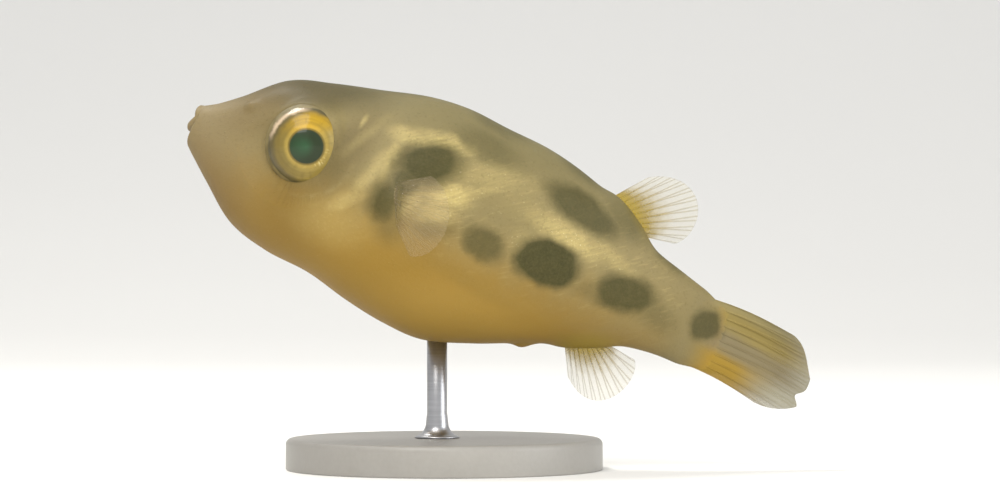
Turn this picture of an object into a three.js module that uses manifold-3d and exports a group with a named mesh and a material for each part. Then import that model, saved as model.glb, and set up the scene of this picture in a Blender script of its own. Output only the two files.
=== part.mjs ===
// A dwarf freshwater pufferfish, life size, hovering nose-up on a small display stand.
//
// The fish is first modelled straight, in its own frame: x runs from the snout to the tail,
// y to its right, z to its back, and z = 0 is the line from the mouth to the middle of the
// tail root. It is then bent along its spine, pitched nose-up and lifted onto the rod.
// All sizes are in millimetres.

import * as THREE from "three";
import { mergeVertices } from "three/addons/utils/BufferGeometryUtils.js";
import Module from "manifold-3d";

const wasm = await Module();
wasm.setup();

// ---------------------------------------------------------------- driving dimensions

const PITCH = THREE.MathUtils.degToRad(22.5); // nose-up attitude of the spine
const SNOUT_PLACE = new THREE.Vector3(-10.6, -0.15, 14.3); // the snout, from the middle of the base
const PART_GAP = 0.22; // the thin cuts between one sub-part and the next

const SNOUT_X = -0.1; // foremost point of the lips
const FLESH_END_X = 24.4; // the flesh runs a little way into the tail fin
const HEAD_END_X = 8.75; // at the gill opening
const TRUNK_END_X = 19.9; // just behind the dorsal and anal fins
const PEDUNCLE_END_X = 23.35; // where the tail fin starts
const SNOUT_CAP = { reach: 0.62, power: 2.5 }; // how bluntly the muzzle closes
const TAIL_CAP = { reach: 0.3, power: 2.0 };
const TAIL_WEDGE = { reach: 2.0, power: 2.0 }; // the flesh thins to an upright edge in the fin
const SECTION_POWER = 2.2; // 2 is an ellipse; a puffer's trunk is a little fuller

// Named stations down the body: height of the back, depth of the belly, half the width, and
// the level at which the body is widest.
const STATIONS = [
  { name: "lips", x: -0.1, back: 0.88, belly: -0.62, half: 0.66, widest: 0.2 },
  { name: "muzzle", x: 0.45, back: 1.14, belly: -1.03, half: 0.95, widest: 0.1 },
  { name: "snout", x: 1.5, back: 1.94, belly: -1.87, half: 1.5, widest: 0.0 },
  { name: "forehead", x: 3.1, back: 3.33, belly: -3.07, half: 2.2, widest: -0.1 },
  { name: "eyes", x: 4.9, back: 3.94, belly: -3.58, half: 2.82, widest: -0.2 },
  { name: "cheeks", x: 6.9, back: 4.46, belly: -3.75, half: 3.32, widest: -0.3 },
  { name: "gills", x: 8.8, back: 4.95, belly: -4.2, half: 3.7, widest: -0.4 },
  { name: "shoulders", x: 10.5, back: 5.11, belly: -4.48, half: 3.88, widest: -0.4 },
  { name: "belly", x: 12.3, back: 4.97, belly: -4.52, half: 3.78, widest: -0.3 },
  { name: "flank", x: 14.3, back: 4.83, belly: -3.88, half: 3.32, widest: 0.0 },
  { name: "vent", x: 16.2, back: 4.4, belly: -3.07, half: 2.6, widest: 0.3 },
  { name: "fin roots", x: 18.0, back: 3.72, belly: -2.36, half: 1.86, widest: 0.5 },
  { name: "behind the fins", x: 19.7, back: 2.74, belly: -1.7, half: 1.34, widest: 0.45 },
  { name: "peduncle", x: 21.4, back: 2.22, belly: -1.4, half: 0.98, widest: 0.4 },
  { name: "tail root", x: 23.3, back: 1.72, belly: -1.4, half: 0.62, widest: 0.2 },
  { name: "tail flesh", x: 24.4, back: 1.5, belly: -1.3, half: 0.42, widest: 0.1 },
];

// Soft mounds on each flank: a centre, a height and how far it reaches.
const MOUNDS = [
  { name: "brow", x: 4.3, z: 2.75, height: 0.26, reach: 1.15 },
  { name: "cheek", x: 6.6, z: -1.1, height: 0.16, reach: 1.9 },
  { name: "pectoral root", x: 9.35, z: 0.35, height: 0.3, reach: 0.8 },
];

// The spine curves gently away to the fish's right at both ends.
const BEND = { headFrom: 11, headRate: 0.009, tailFrom: 13, tailRate: 0.0055 };

const EYE = {
  place: new THREE.Vector3(5.16, 2.1, 1.11), // y is to either side
  across: 1.74, // radius of the eyeball across its axis
  deep: 1.45, // and along it
};
const ORBIT = {
  forward: THREE.MathUtils.degToRad(22), // the ring of skin round the eye faces forward
  down: THREE.MathUtils.degToRad(6), // and a little downward
  wall: 0.28, // thickness of skin over the eyeball
  plane: 0.52, // the ring's distance from the middle of the eyeball
};

const MOUTH = {
  gape: new THREE.Vector3(0.1, 0, 0.46), // middle of the opening
  cavity: new THREE.Vector3(0.72, 0.6, 0.36), // half its length, width and height
  upperLip: { x: 0.16, z: 0.82, radius: 0.24 },
  lowerLip: { x: 0.1, z: 0.02, radius: 0.31 },
  lipHalfWidth: 0.5,
  lipSweep: 0.75, // how far the corners of the lips are drawn back
};
const BEAK = { place: new THREE.Vector3(0.52, 0, 0.46), half: new THREE.Vector3(0.3, 0.36, 0.255) };

const NOSTRIL = { x: 2.35, z: 1.72, radius: 0.2, height: 0.2 };

// The fleshy lobe the dorsal fin and the anal fin each grow from: its middle, half its size,
// and how far it leans from the spine line.
const FIN_LOBES = [
  { place: [18.3, 3.35], half: [1.15, 0.55, 0.36], lean: -38 },
  { place: [18.4, -1.95], half: [1.15, 0.5, 0.34], lean: 22 },
];

const FIN_THICKNESS = 0.52;
const FIN_ROOT_THICKNESS = 0.95;
const RAY_STEPS = 5; // steps out along a ray

const BASE = { radius: 6.6, height: 1.3, bevel: 0.25, sides: 48 };
const ROD = { radius: 0.42, intoBelly: 1.2, sides: 16, collarRadius: 0.95, collarHeight: 0.6 };
const ROD_X = -0.3; // the rod stands under the fish's centre of mass

// ---------------------------------------------------------------- geometry helpers

// Value at x of a smooth curve through (x, value) points: cubic Hermite pieces whose slopes
// are those of the chord between the two neighbours.
function smoothThrough(points, x) {
  const last = points.length - 1;
  const clamped = Math.min(Math.max(x, points[0].x), points[last].x);
  let i = 0;
  while (i < last - 1 && clamped > points[i + 1].x) i += 1;
  const slopeAt = (k) => {
    const a = points[Math.max(k - 1, 0)];
    const b = points[Math.min(k + 1, last)];
    return (b.value - a.value) / (b.x - a.x);
  };
  const span = points[i + 1].x - points[i].x;
  const t = (clamped - points[i].x) / span;
  const rise = t * t * (3 - 2 * t);
  return (
    points[i].value * (1 - rise) +
    points[i + 1].value * rise +
    span * slopeAt(i) * t * (1 - t) * (1 - t) -
    span * slopeAt(i + 1) * t * t * (1 - t)
  );
}

const profile = (key) => {
  const points = STATIONS.map((s) => ({ x: s.x, value: s[key] }));
  return (x) => smoothThrough(points, x);
};
const backAt = profile("back");
const bellyAt = profile("belly");
const halfAt = profile("half");
const widestAt = profile("widest");

// Share of the full section that is left at distance d from a closed end.
function capShare(d, cap) {
  if (d >= cap.reach) return 1;
  const inside = Math.max(0, 1 - Math.max(d, 0) / cap.reach);
  return Math.pow(1 - Math.pow(inside, cap.power), 1 / cap.power);
}

// Point of the straight body at length x, at an angle round its section (0 is the fish's
// right flank, a quarter turn its back), grown outward by `grow`.
function bodyPoint(x, angle, grow = 0) {
  const cos = Math.cos(angle);
  const sin = Math.sin(angle);
  const middle = widestAt(x);
  const tall = sin > 0 ? backAt(x) - middle : middle - bellyAt(x);
  const wide = halfAt(x) * capShare(FLESH_END_X - x, TAIL_WEDGE);
  const share = capShare(x - SNOUT_X, SNOUT_CAP) * capShare(FLESH_END_X - x, TAIL_CAP);
  const across = Math.pow(Math.abs(cos) / wide, SECTION_POWER);
  const up = Math.pow(Math.abs(sin) / tall, SECTION_POWER);
  let radius = share * Math.pow(across + up, -1 / SECTION_POWER);
  const z = middle + radius * sin;
  for (const mound of MOUNDS) {
    const away = Math.hypot(x - mound.x, z - mound.z) / mound.reach;
    radius += share * Math.abs(cos) * mound.height * Math.exp(-away * away);
  }
  radius += grow;
  return new THREE.Vector3(x, radius * cos, middle + radius * sin);
}

// Half-width of the straight body at a given length and level.
function flankAt(x, z) {
  const middle = widestAt(x);
  const tall = z > middle ? backAt(x) - middle : middle - bellyAt(x);
  const rise = Math.min(1, Math.abs(z - middle) / tall);
  return halfAt(x) * Math.pow(1 - Math.pow(rise, SECTION_POWER), 1 / SECTION_POWER);
}

// A copy of a geometry with every corner moved by `move`, which changes the vector it gets.
function reshaped(geometry, move) {
  const made = geometry.clone();
  const place = made.attributes.position;
  const corner = new THREE.Vector3();
  for (let i = 0; i < place.count; i += 1) {
    move(corner.fromBufferAttribute(place, i));
    place.setXYZ(i, corner.x, corner.y, corner.z);
  }
  return made;
}

function solid(geometry) {
  const bare = geometry.clone();
  bare.deleteAttribute("normal");
  bare.deleteAttribute("uv");
  const merged = mergeVertices(bare, 1e-4);
  const mesh = new wasm.Mesh({
    numProp: 3,
    vertProperties: new Float32Array(merged.attributes.position.array),
    triVerts: new Uint32Array(merged.index.array),
  });
  return new wasm.Manifold(mesh);
}

function geometryOf(made) {
  const { vertProperties, triVerts } = made.getMesh();
  return new THREE.BufferGeometry()
    .setAttribute("position", new THREE.BufferAttribute(vertProperties, 3))
    .setIndex(new THREE.BufferAttribute(triVerts, 1));
}

const ellipsoid = (place, half, around = 24, down = 16) =>
  new THREE.SphereGeometry(1, around, down)
    .scale(half.x, half.y, half.z)
    .translate(place.x, place.y, place.z);

// Everything between two lengths of the fish.
function slice(fromX, toX) {
  const size = 40;
  const block = new THREE.BoxGeometry(toX - fromX, size, size);
  return solid(block.translate((fromX + toX) / 2, 0, 0));
}

// Bends the straight fish along its spine: a section stays square to the spine.
function bend(corner) {
  const ahead = Math.max(0, BEND.headFrom - corner.x);
  const behind = Math.max(0, corner.x - BEND.tailFrom);
  const aside = BEND.headRate * ahead * ahead + BEND.tailRate * behind * behind;
  const slope = -2 * BEND.headRate * ahead + 2 * BEND.tailRate * behind;
  const length = Math.hypot(1, slope);
  corner.set(corner.x - (corner.y * slope) / length, aside + corner.y / length, corner.z);
}

// ---------------------------------------------------------------- the body

// A sphere whose poles are the snout and the tail, blown out to the body's sections.
function bodySolid(grow = 0, around = 36, along = 38) {
  const sphere = new THREE.SphereGeometry(1, around, along);
  return solid(
    reshaped(sphere, (corner) => {
      const share = (1 - Math.max(-1, Math.min(1, corner.y))) / 2;
      const x = SNOUT_X + share * (FLESH_END_X - SNOUT_X);
      const pole = Math.hypot(corner.x, corner.z) < 1e-6;
      const angle = Math.atan2(-corner.x, corner.z);
      if (pole) corner.set(x + Math.sign(share - 0.5) * grow, 0, widestAt(x));
      else corner.copy(bodyPoint(x, angle, grow));
    }),
  );
}

// One lip: a capsule laid across the muzzle with its corners drawn back.
function lip({ x, z, radius }) {
  const capsule = new THREE.CapsuleGeometry(radius, 2 * MOUTH.lipHalfWidth, 3, 10, 5);
  return solid(
    reshaped(capsule, (corner) => {
      const drawnBack = MOUTH.lipSweep * corner.y * corner.y;
      corner.set(x + corner.x + drawnBack, corner.y, z + corner.z);
    }),
  );
}

// The eyeball, `grow` larger all round. side is 1 on the fish's right and -1 on its left.
function eyeball(side, grow = 0) {
  const wide = EYE.across + grow;
  const half = new THREE.Vector3(wide, EYE.deep + grow, wide);
  const place = EYE.place.clone().multiply(new THREE.Vector3(1, side, 1));
  return solid(ellipsoid(place, half, 20, 14));
}

// The way the ring of skin round an eye faces.
const orbitNormal = (side) =>
  new THREE.Vector3(
    -Math.sin(ORBIT.forward) * Math.cos(ORBIT.down),
    side * Math.cos(ORBIT.forward) * Math.cos(ORBIT.down),
    -Math.sin(ORBIT.down),
  );

// The collar of skin that hugs an eyeball up to the ring.
function orbitCollar(side) {
  const normal = orbitNormal(side);
  const turn = new THREE.Quaternion().setFromUnitVectors(new THREE.Vector3(0, 0, 1), normal);
  const place = EYE.place.clone().multiply(new THREE.Vector3(1, side, 1));
  const depth = 4;
  const behindRing = new THREE.BoxGeometry(8, 8, depth)
    .translate(0, 0, ORBIT.plane - depth / 2)
    .applyQuaternion(turn)
    .translate(place.x, place.y, place.z);
  return eyeball(side, ORBIT.wall).intersect(solid(behindRing));
}

function finLobe({ place, half, lean }) {
  const geometry = ellipsoid(new THREE.Vector3(), new THREE.Vector3(...half), 16, 10);
  const turn = THREE.MathUtils.degToRad(-lean);
  return solid(geometry.rotateY(turn).translate(place[0], 0, place[1]));
}

// A short tube standing on the snout in front of each eye.
function nostril(side) {
  const flank = flankAt(NOSTRIL.x, NOSTRIL.z);
  const tube = new THREE.CylinderGeometry(
    NOSTRIL.radius * 0.8, NOSTRIL.radius, 2 * NOSTRIL.height, 10,
  );
  const outward = new THREE.Vector3(-0.25, side * 0.8, 0.55).normalize();
  const turn = new THREE.Quaternion().setFromUnitVectors(new THREE.Vector3(0, 1, 0), outward);
  return solid(tube.applyQuaternion(turn).translate(NOSTRIL.x, side * flank, NOSTRIL.z));
}

// ---------------------------------------------------------------- the fins

const SIDEWAYS = new THREE.Vector3(0, 1, 0);

// A fin is a fan of rays. u runs along its root from the first ray to the last, v out along
// a ray and w through its thickness. `centre(u, v)` is its middle surface, and it is thicker
// along the rays and at its fleshy root than on the webs between them.
function fanFin(rays, centre, across) {
  const box = new THREE.BoxGeometry(1, 1, 1, 2 * (rays - 1), RAY_STEPS, 1);
  const alongRoot = centre(0.6, 0.5).sub(centre(0.4, 0.5));
  const alongRay = centre(0.5, 0.6).sub(centre(0.5, 0.4));
  const facing = Math.sign(alongRoot.cross(alongRay).dot(across));
  const web = 0.1;
  const rootReach = 0.3;
  return solid(
    reshaped(box, (corner) => {
      const u = corner.x + 0.5;
      const v = corner.y + 0.5;
      const w = corner.z;
      const betweenRays = Math.abs(Math.sin(Math.PI * (rays - 1) * u));
      const root = Math.max(0, 1 - v / rootReach);
      const blade = FIN_THICKNESS + web * (1 - betweenRays) * (1 - 0.5 * v);
      const thickness = blade + (FIN_ROOT_THICKNESS - FIN_THICKNESS) * root * root;
      corner.copy(centre(u, v)).addScaledVector(across, facing * w * thickness);
    }),
  );
}

// A rounded fan's ray length at u: `edge` of the full length at its first and last ray.
const roundedLength = (full, edge, u) =>
  full * (edge + (1 - edge) * Math.pow(Math.max(0, Math.sin(Math.PI * u)), 0.8));

// A fin in the fish's middle plane, from its root's ends (x, z), the rays' angles and length.
function medianFin({ rays, from, to, firstAngle, lastAngle, anglePower, length, edge, sunk, sway }) {
  const centre = (u, v) => {
    const turn = firstAngle + (lastAngle - firstAngle) * Math.pow(u, anglePower);
    const angle = THREE.MathUtils.degToRad(turn);
    const reach = -sunk + v * (roundedLength(length, edge, u) + sunk);
    return new THREE.Vector3(
      from[0] + (to[0] - from[0]) * u + reach * Math.cos(angle),
      sway * v * v,
      from[1] + (to[1] - from[1]) * u + reach * Math.sin(angle),
    );
  };
  return fanFin(rays, centre, SIDEWAYS);
}

const DORSAL_FIN = {
  rays: 9, from: [17.6, 4.26], to: [19.25, 2.98],
  firstAngle: 51, lastAngle: 9, anglePower: 1.6,
  length: 2.82, edge: 0.47, sunk: 0.5, sway: 0.35,
};
const ANAL_FIN = {
  rays: 9, from: [17.9, -2.42], to: [19.55, -1.74],
  firstAngle: -61, lastAngle: -7, anglePower: 2.3,
  length: 2.48, edge: 0.54, sunk: 0.45, sway: 0.3,
};

// The tail fin is half closed and cupped, so it shows narrower than it is tall when spread.
const TAIL_FIN = {
  rays: 11,
  root: { x: 23.3, top: 1.66, bottom: -1.36 },
  topAngle: -1, bottomAngle: -6, // degrees from the spine line
  upper: 4.84, lower: 4.52, // ray lengths in the two lobes
  corner: 0.62, // share of that length at the outermost rays
  notch: { at: 0.68, depth: 0.3, reach: 0.07 },
  cup: 0.5, // sideways swing of the cupped blade
  sunk: 0.3, // the root lies this far inside the flesh
  arch: 0.12, // rise of the rays halfway out
};

function tailFinLength(u) {
  const { upper, lower, corner, notch } = TAIL_FIN;
  const lobe = upper + (lower - upper) * THREE.MathUtils.smoothstep(u, 0.45, 0.85);
  const fromEdge = Math.min(u, 1 - u);
  const rounding = Math.sqrt(Math.min(1, fromEdge / (u < 0.5 ? 0.42 : 0.2)));
  const off = (u - notch.at) / notch.reach;
  return lobe * (corner + (1 - corner) * rounding) - notch.depth * Math.exp(-off * off);
}

function tailFinCentre(u, v) {
  const { root, topAngle, bottomAngle, cup, sunk, arch } = TAIL_FIN;
  const angle = THREE.MathUtils.degToRad(topAngle + (bottomAngle - topAngle) * u);
  const reach = -sunk + v * (tailFinLength(u) + sunk);
  const swing = cup * v * Math.sin(2 * Math.PI * (u - 0.12));
  const rootZ = root.top + (root.bottom - root.top) * u;
  return new THREE.Vector3(
    root.x + reach * Math.cos(angle),
    swing,
    rootZ + reach * Math.sin(angle) + arch * Math.sin(Math.PI * v),
  );
}

// The pectoral fins fan back from just behind the gill openings, held off the flanks.
const PECTORAL_FIN = {
  rays: 11,
  top: { x: 9.2, z: 1.15 },
  bottom: { x: 9.75, z: -0.5 },
  topAngle: 34, bottomAngle: -46,
  length: 2.55, edge: 0.6,
  spread: THREE.MathUtils.degToRad(33), // out from the flank
};

function pectoralFin(side) {
  const { rays, top, bottom, topAngle, bottomAngle, length, edge, spread } = PECTORAL_FIN;
  const outward = 0.12;
  const centre = (u, v) => {
    const angle = THREE.MathUtils.degToRad(topAngle + (bottomAngle - topAngle) * u);
    const reach = v * roundedLength(length, edge, u);
    const x = top.x + (bottom.x - top.x) * u;
    const z = top.z + (bottom.z - top.z) * u;
    const rootY = flankAt(x, z) + outward;
    return new THREE.Vector3(
      x + reach * Math.cos(angle) * Math.cos(spread),
      side * (rootY + reach * Math.sin(spread)),
      z + reach * Math.sin(angle) * Math.cos(spread),
    );
  };
  const across = new THREE.Vector3(-Math.sin(spread), side * Math.cos(spread), 0);
  return fanFin(rays, centre, across);
}

// ---------------------------------------------------------------- cutting and placing

const fish = new THREE.Group();
fish.rotation.y = PITCH;
fish.position.copy(SNOUT_PLACE);
fish.updateMatrix();

const whole = bodySolid();
const wholeGrown = bodySolid(PART_GAP);
const leftEye = eyeball(-1);
const rightEye = eyeball(1);
const mouthCavity = solid(ellipsoid(MOUTH.gape, MOUTH.cavity, 14, 10));

const head = whole
  .intersect(slice(-5, HEAD_END_X - PART_GAP / 2))
  .add(lip(MOUTH.upperLip))
  .add(lip(MOUTH.lowerLip))
  .add(nostril(-1))
  .add(nostril(1))
  .add(orbitCollar(-1))
  .add(orbitCollar(1))
  .subtract(eyeball(-1, PART_GAP))
  .subtract(eyeball(1, PART_GAP))
  .subtract(mouthCavity);
const lobes = FIN_LOBES.map(finLobe).reduce((all, lobe) => all.add(lobe));
const trunk = whole
  .add(lobes)
  .intersect(slice(HEAD_END_X + PART_GAP / 2, TRUNK_END_X - PART_GAP / 2));
const tail = whole.intersect(slice(TRUNK_END_X + PART_GAP / 2, PEDUNCLE_END_X - PART_GAP / 2));
const beak = solid(ellipsoid(BEAK.place, BEAK.half, 12, 8));

const lobesGrown = FIN_LOBES.map((lobe) => ({
  ...lobe,
  half: lobe.half.map((size) => size + PART_GAP),
}));
const finClearance = lobesGrown.map(finLobe).reduce((all, lobe) => all.add(lobe), wholeGrown);
const dorsalFin = medianFin(DORSAL_FIN).subtract(finClearance);
const analFin = medianFin(ANAL_FIN).subtract(finClearance);
const tailFin = fanFin(TAIL_FIN.rays, tailFinCentre, SIDEWAYS)
  .intersect(slice(PEDUNCLE_END_X + PART_GAP / 2, 40));
const leftPectoral = pectoralFin(-1).subtract(wholeGrown);
const rightPectoral = pectoralFin(1).subtract(wholeGrown);

// The largest single body of a cut, which leaves out any sliver on the far side of it.
const mainBody = (made) =>
  made.decompose().reduce((best, body) => (body.volume() > best.volume() ? body : best));

const skinLook = { roughness: 0.45, metalness: 0.0 };
const finLook = { roughness: 0.4, metalness: 0.0 };

function material(hex, look) {
  return new THREE.MeshStandardMaterial({ color: hex, ...look });
}

// Bends a straight piece of the fish and hangs it in the fish's group under its name.
function addToFish(name, made, look) {
  const geometry = geometryOf(mainBody(made));
  const mesh = new THREE.Mesh(reshaped(geometry, bend), look);
  mesh.name = name;
  fish.add(mesh);
  return mesh;
}

// ---------------------------------------------------------------- the stand

// The bevelled disc, turned from its half section.
function standBase() {
  const { radius, height, bevel, sides } = BASE;
  const section = [
    new THREE.Vector2(0, 0),
    new THREE.Vector2(radius, 0),
    new THREE.Vector2(radius, height - bevel),
    new THREE.Vector2(radius - bevel, height),
    new THREE.Vector2(0, height),
  ];
  return new THREE.LatheGeometry(section, sides).rotateX(Math.PI / 2);
}

// The rod with its turned collar, `grow` wider, from the base's top to a height.
function standRod(bottom, top, grow = 0) {
  const { radius, collarRadius, collarHeight, sides } = ROD;
  const section = [
    new THREE.Vector2(0, bottom),
    new THREE.Vector2(collarRadius + grow, bottom),
    new THREE.Vector2(radius + 0.1 + grow, bottom + collarHeight),
    new THREE.Vector2(radius + grow, bottom + collarHeight + 0.25),
    new THREE.Vector2(radius + grow, top),
    new THREE.Vector2(0, top),
  ];
  return new THREE.LatheGeometry(section, sides).rotateX(Math.PI / 2).translate(ROD_X, 0, 0);
}

// Height of the belly above the floor straight over the rod, found by stepping down the body.
function bellyOverRod() {
  let lowest = Infinity;
  const corner = new THREE.Vector3();
  for (let x = 8; x < 16; x += 0.02) {
    corner.copy(bodyPoint(x, -Math.PI / 2));
    bend(corner);
    corner.applyMatrix4(fish.matrix);
    if (Math.abs(corner.x - ROD_X) < 0.05) lowest = Math.min(lowest, corner.z);
  }
  return lowest;
}

const rodBottom = BASE.height;
const rodTop = bellyOverRod() + ROD.intoBelly;
const rodHole = reshaped(standRod(rodBottom, rodTop, PART_GAP), (corner) => {
  if (corner.z > rodTop - 0.01) corner.z += PART_GAP;
});

addToFish("head", head, material(0xa89668, skinLook));
const trunkMesh = addToFish("trunk", trunk, material(0xa58c54, skinLook));
addToFish("tail", tail, material(0x9c8e62, skinLook));
addToFish("eye_left", leftEye, material(0xc79a2c, { roughness: 0.12, metalness: 0.0 }));
addToFish("eye_right", rightEye, material(0xc79a2c, { roughness: 0.12, metalness: 0.0 }));
addToFish("beak", beak, material(0xe6dcc2, { roughness: 0.3, metalness: 0.0 }));
addToFish("dorsal_fin", dorsalFin, material(0xd9cf9a, finLook));
addToFish("anal_fin", analFin, material(0xd9cf9a, finLook));
addToFish("tail_fin", tailFin, material(0xb59a48, finLook));
addToFish("pectoral_fin_left", leftPectoral, material(0xcfc4a4, finLook));
addToFish("pectoral_fin_right", rightPectoral, material(0xcfc4a4, finLook));

// The socket for the rod is cut in the fish's own frame.
const hole = solid(rodHole.clone().applyMatrix4(fish.matrix.clone().invert()));
trunkMesh.geometry = geometryOf(mainBody(solid(trunkMesh.geometry).subtract(hole)));

const stand = new THREE.Group();
const base = new THREE.Mesh(standBase(), material(0x8b8882, { roughness: 0.5, metalness: 0.0 }));
base.name = "stand_base";
const rodGeometry = standRod(rodBottom + PART_GAP / 10, rodTop);
const rod = new THREE.Mesh(rodGeometry, material(0xb8b8ba, { roughness: 0.3, metalness: 0.9 }));
rod.name = "stand_rod";
stand.add(base, rod);

const part = new THREE.Group();
part.add(fish, stand);

export default part;
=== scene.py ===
# %% [markdown]
# # A dwarf pufferfish on a display stand
#
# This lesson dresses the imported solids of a 28 mm long freshwater pufferfish: one soft skin
# over head, trunk and tail, golden eyes, glassy ribbed fins, and a small stand. Every shape
# is a surface worked out with numpy as a function of two parameters on a grid, and every
# finish is a small tree of shader nodes written as Python expressions.
#
# The fish is worked out straight, in millimetres: x from snout to tail, y to its right and z
# to its back. Then it is bent along its spine, pitched nose-up and set on the rod, exactly as
# the solids are.

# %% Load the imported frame
import math

import bpy
import numpy as np
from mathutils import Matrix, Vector


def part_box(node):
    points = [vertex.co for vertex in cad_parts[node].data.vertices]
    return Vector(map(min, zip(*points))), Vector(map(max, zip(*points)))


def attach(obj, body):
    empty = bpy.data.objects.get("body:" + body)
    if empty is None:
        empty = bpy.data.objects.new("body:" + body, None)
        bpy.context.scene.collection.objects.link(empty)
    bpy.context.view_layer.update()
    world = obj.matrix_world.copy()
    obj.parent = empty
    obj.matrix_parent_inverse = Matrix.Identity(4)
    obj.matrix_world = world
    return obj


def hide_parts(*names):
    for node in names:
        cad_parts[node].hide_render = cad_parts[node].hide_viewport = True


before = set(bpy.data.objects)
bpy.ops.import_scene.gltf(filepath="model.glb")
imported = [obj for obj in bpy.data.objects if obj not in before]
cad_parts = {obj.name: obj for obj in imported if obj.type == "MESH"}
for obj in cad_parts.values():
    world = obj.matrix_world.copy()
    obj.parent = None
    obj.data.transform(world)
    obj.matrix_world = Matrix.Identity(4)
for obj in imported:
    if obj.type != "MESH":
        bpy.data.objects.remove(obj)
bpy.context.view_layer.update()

print("nodes:", ", ".join(sorted(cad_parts)))

# %% [markdown]
# ## Camera
#
# The fish is seen square from its left side, from about six body lengths away, with the lens
# level. A long lens keeps the fins at the far side from shrinking. The near clipping distance
# has to come down with the object: the default of 100 mm would cut close views away.

# %% Camera
MM = 0.001
VIEW_CENTRE = (2.32, 9.32)  # x and z of the middle of the frame, in mm
VIEW_DISTANCE = 160.0
VIEW_WIDTH = 1000 / 24  # mm of scene across the frame, at the fish
SENSOR = 36.0

camera_data = bpy.data.cameras.new("camera")
camera_data.sensor_width = SENSOR
camera_data.lens = SENSOR * VIEW_DISTANCE / VIEW_WIDTH
camera_data.clip_start = 1 * MM
camera = bpy.data.objects.new("camera", camera_data)
camera.location = (VIEW_CENTRE[0] * MM, -VIEW_DISTANCE * MM, VIEW_CENTRE[1] * MM)
camera.rotation_euler = (math.radians(90), 0, 0)
bpy.context.scene.collection.objects.link(camera)
bpy.context.scene.camera = camera
print("lens", round(camera_data.lens, 1), "mm")

# %% [markdown]
# ## Helpers for curves and surfaces
#
# A fish's outline is given at a few named stations. Between them each measure runs along a
# smooth curve, and a short ramp function blends one form into the next. A box could be
# subdivided and pulled into shape instead, but a curve stays where its numbers put it.


# %% Curves through stations
def cubic_piece(values, slopes, i, t, span=1.0):
    """Piece i of a curve through values, at the share t of its span, from its ends' slopes.

    A smooth step blends the two ends, and a cubic for each end brings in its slope.
    """
    rise = t * t * (3 - 2 * t)
    start = span * slopes[i] * t * (1 - t) ** 2
    end = span * slopes[i + 1] * t * t * (1 - t)
    return values[i] * (1 - rise) + values[i + 1] * rise + start - end


def smooth_through(xs, values, x):
    """Cubic pieces through (xs, values); each slope is that of the neighbours' chord."""
    x = np.clip(x, xs[0], xs[-1])
    i = np.clip(np.searchsorted(xs, x, side="right") - 1, 0, len(xs) - 2)
    before = np.maximum(np.arange(len(xs)) - 1, 0)
    after = np.minimum(np.arange(len(xs)) + 1, len(xs) - 1)
    slope = (values[after] - values[before]) / (xs[after] - xs[before])
    span = xs[i + 1] - xs[i]
    return cubic_piece(values, slope, i, (x - xs[i]) / span, span)


def ramp(low, high, value):
    """0 below low, 1 above high, and a smooth cubic between."""
    t = np.clip((value - low) / (high - low), 0, 1)
    return t * t * (3 - 2 * t)


def bump(distance, reach):
    """A soft mound: 1 at distance 0, falling as a bell curve."""
    return np.exp(-((distance / reach) ** 2))


# %% Surfaces from grids
def joined(*parts):
    """Numbers and arrays stretched to one shape and put side by side: x, y, z make points."""
    return np.stack(np.broadcast_arrays(*parts), -1)


def unit(vectors):
    """Each vector divided by its own length."""
    return vectors / np.maximum(np.linalg.norm(vectors, axis=-1, keepdims=True), 1e-6)


def grid_quads(rows, columns, closed):
    """Corner numbers of the quads of a grid; a closed grid's last column joins its first."""
    row = np.arange(rows - 1)[:, None] * columns
    column = np.arange(columns if closed else columns - 1)[None, :]
    beside = (column + 1) % columns
    quads = joined(row + column, row + beside, row + columns + beside, row + columns + column)
    return quads.reshape(-1, 4)


def closed_tube(rings, first, last):
    """Points and faces of a tube of rings; a fan of triangles closes each end in one point."""
    rows, columns = rings.shape[:2]
    ring = np.arange(columns)
    beside = (ring + 1) % columns
    pole = rows * columns
    last_ring = pole - columns
    near = joined(pole, beside, ring)
    far = joined(pole + 1, last_ring + ring, last_ring + beside)
    points = np.concatenate([rings.reshape(-1, 3), [first, last]])
    return points, grid_quads(rows, columns, True).tolist() + near.tolist() + far.tolist()


# %% Pieces from points and faces
def volume_in(mesh):
    """The volume that a closed mesh's faces enclose; it is negative if they face inward."""
    mesh.calc_loop_triangles()
    corners = np.empty(3 * len(mesh.vertices), np.float32)
    mesh.vertices.foreach_get("co", corners)
    triangles = np.empty(3 * len(mesh.loop_triangles), np.int32)
    mesh.loop_triangles.foreach_get("vertices", triangles)
    a, b, c = corners.reshape(-1, 3)[triangles.reshape(-1, 3)].astype(float).transpose(1, 0, 2)
    return (a * np.cross(b, c)).sum() / 6


def make_piece(name, points, faces, closed=True):
    """An object from faces and from points in mm, in place; closed ones are made to face out."""
    mesh = bpy.data.meshes.new(name)
    mesh.from_pydata((np.asarray(points).reshape(-1, 3) * MM).tolist(), [], faces)
    mesh.polygons.foreach_set("use_smooth", [True] * len(mesh.polygons))
    if closed and volume_in(mesh) < 0:
        mesh.flip_normals()
    mesh.update()
    piece = bpy.data.objects.new(name, mesh)
    bpy.context.scene.collection.objects.link(piece)
    print(name, len(mesh.polygons), "faces,", round(volume_in(mesh) / MM**3, 2), "cubic mm")
    return piece


def store_vector(piece, name, values):
    """Keeps one vector for each vertex, for the piece's material to read."""
    attribute = piece.data.attributes.new(name, "FLOAT_VECTOR", "POINT")
    attribute.data.foreach_set("vector", np.asarray(values, np.float32).ravel())


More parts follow.
